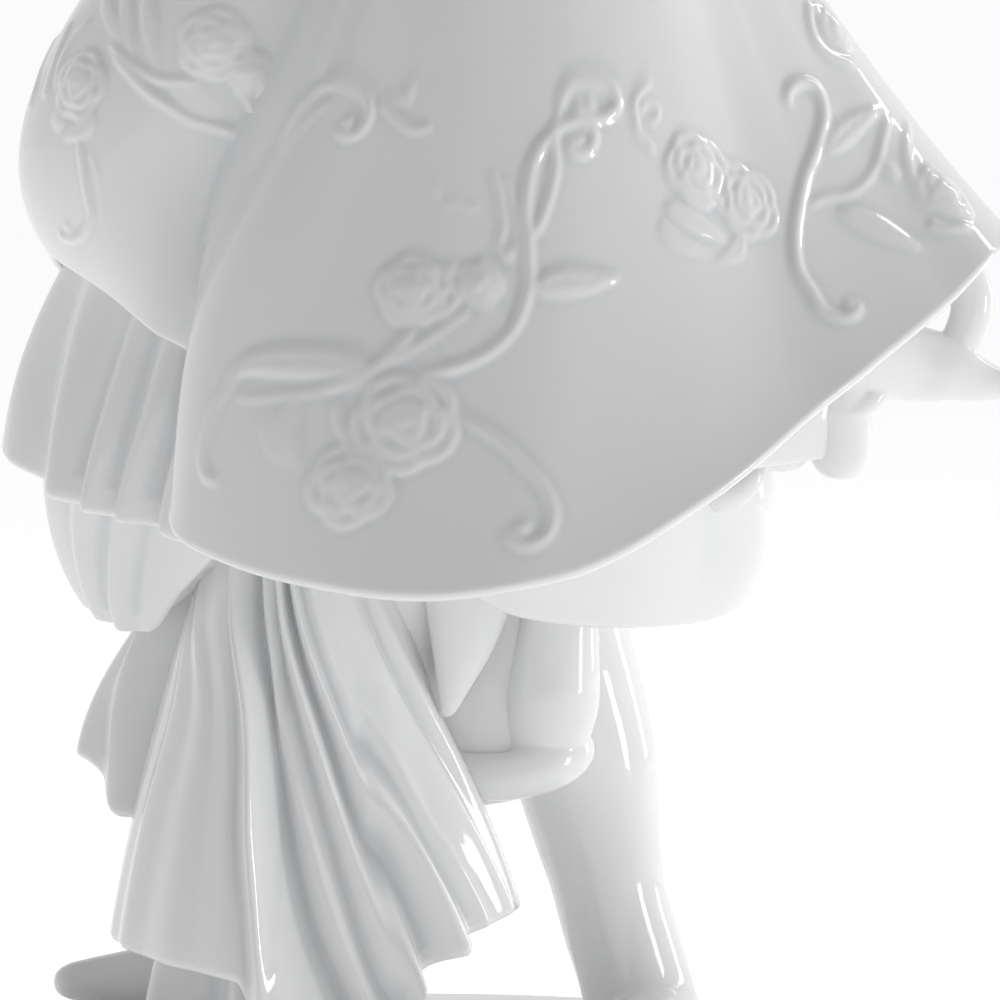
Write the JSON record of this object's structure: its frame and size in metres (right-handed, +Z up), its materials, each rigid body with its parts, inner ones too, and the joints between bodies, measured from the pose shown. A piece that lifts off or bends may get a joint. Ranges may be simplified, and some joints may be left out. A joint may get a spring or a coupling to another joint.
{
  "type": "porcelain couple figurine",
  "caption": "Glazed white porcelain figurine of a dancing couple, her gown in tiered pleated layers under a wide overskirt with low rose relief, on a low oval base.",
  "frame": {"origin": "on the floor, under the middle of the figurine's outline box", "axes": "+Z up along the figurine's height, -Y towards its front, +X to the viewer's right when it is seen from the front"},
  "size_m": [0.1843, 0.162, 0.4341],
  "materials": {
    "white_glaze": "clear gloss glaze over white porcelain"
  },
  "bodies": {
    "root": {"porcelain_couple": "white_glaze"}
  },
  "joints": []
}
